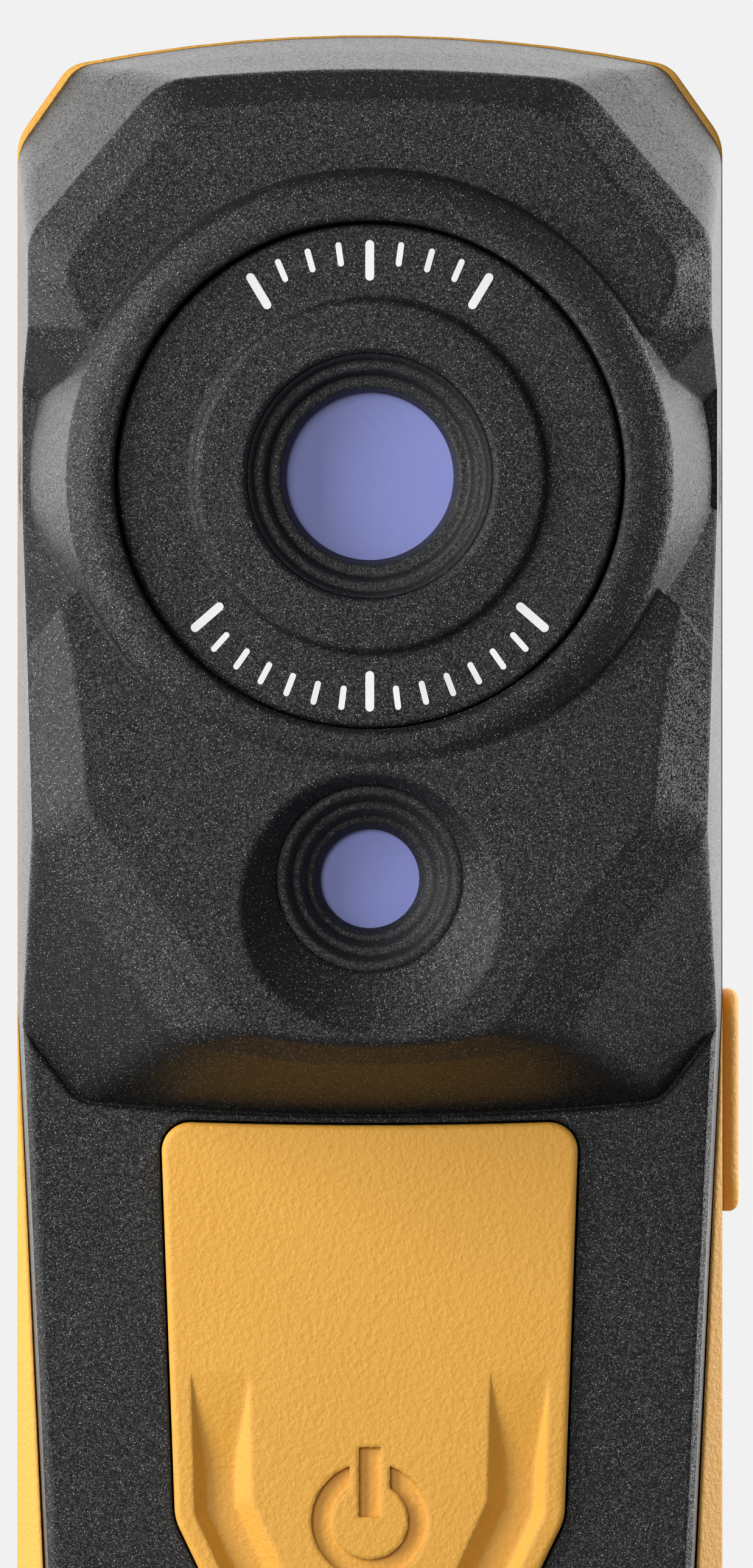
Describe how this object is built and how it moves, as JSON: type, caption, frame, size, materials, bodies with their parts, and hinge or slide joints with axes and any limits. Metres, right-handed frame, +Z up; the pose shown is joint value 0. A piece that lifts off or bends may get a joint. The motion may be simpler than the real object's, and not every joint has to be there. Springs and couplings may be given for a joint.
{
  "type": "thermal imaging camera",
  "caption": "Stick-shaped handheld thermal imaging camera with a ringed infrared lens, a shielded camera below it, a hinged power key and a side shutter button.",
  "frame": {"origin": "mouth of the tripod thread in the middle of the flat lower end", "axes": "+Z up along the case to its top, -Y the way the lenses look, X across the width, the side button on +X"},
  "size_m": [0.043, 0.03, 0.145],
  "materials": {
    "black_plastic": "finely spark-eroded black plastic",
    "orange_plastic": "fine leather-grained orange plastic",
    "coated_window": "coated germanium with a flat violet-blue sheen",
    "germanium": "polished germanium",
    "aluminium_part": "turned, blasted aluminium",
    "steel_part": "plated steel",
    "brass_part": "machined brass",
    "seal_rubber": "soft silicone",
    "board": "green solder mask",
    "chip": "moulded chip body",
    "flex": "amber polyimide film",
    "battery_wrap": "blue wrapped cell",
    "foam": "foam pad",
    "label": "blank silver-grey film",
    "lead": "insulated wire"
  },
  "bodies": {
    "case": {"front_shell": "black_plastic", "rear_shell": "orange_plastic", "shell_seal": "seal_rubber", "shell_screws": "steel_part", "lens_bezel": "black_plastic", "infrared_baffle": "black_plastic", "infrared_window": "coated_window", "window_seal": "seal_rubber", "lens_barrel": "aluminium_part", "front_lens": "germanium", "rear_lens": "germanium", "lens_spacer": "aluminium_part", "lens_retaining_ring": "aluminium_part", "shutter_frame": "aluminium_part", "shutter_motor": "steel_part", "sensor_package": "chip", "sensor_board": "board", "core_screws": "steel_part", "sensor_flex": "flex", "camera_baffle": "black_plastic", "camera_window": "coated_window", "camera_module": "chip", "key_hinge_pin": "steel_part", "power_switch": "chip", "side_switch": "chip", "main_board": "board", "processor_chip": "chip", "radio_module": "steel_part", "flex_connector": "chip", "battery": "battery_wrap", "battery_pad": "foam", "battery_connector": "chip", "battery_lead": "lead", "usb_socket": "steel_part", "usb_cover_pin": "steel_part", "tripod_insert": "brass_part", "rating_label": "label"},
    "power_key_body": {"power_key": "orange_plastic"},
    "side_button_body": {"side_button": "orange_plastic"},
    "shutter_body": {"shutter_blade": "steel_part"},
    "usb_cover_body": {"usb_cover": "seal_rubber"}
  },
  "joints": [
    {"name": "power_key_press", "type": "hinge", "parent": "case", "child": "power_key_body", "pos_m": [0, -0.0089, 0.0784], "axis": [1, 0, 0], "range_deg": [0, 0.8], "stiffness_Nm_per_rad": 2, "springref_deg": -1.15},
    {"name": "side_button_press", "type": "slide", "parent": "case", "child": "side_button_body", "axis": [-1, 0, 0], "range_m": [0, 0.0004], "stiffness_N_per_m": 1500, "springref_m": -0.0004},
    {"name": "shutter_swing", "type": "hinge", "parent": "case", "child": "shutter_body", "pos_m": [0.0085, -0.005, 0.11155], "axis": [0, -1, 0], "range_deg": [0, 55], "stiffness_Nm_per_rad": 0.0002, "springref_deg": -17.19},
    {"name": "usb_cover_swing", "type": "hinge", "parent": "case", "child": "usb_cover_body", "pos_m": [-0.00525, -0.00778, 0.0007], "axis": [0, 1, 0], "range_deg": [0, 100]}
  ]
}
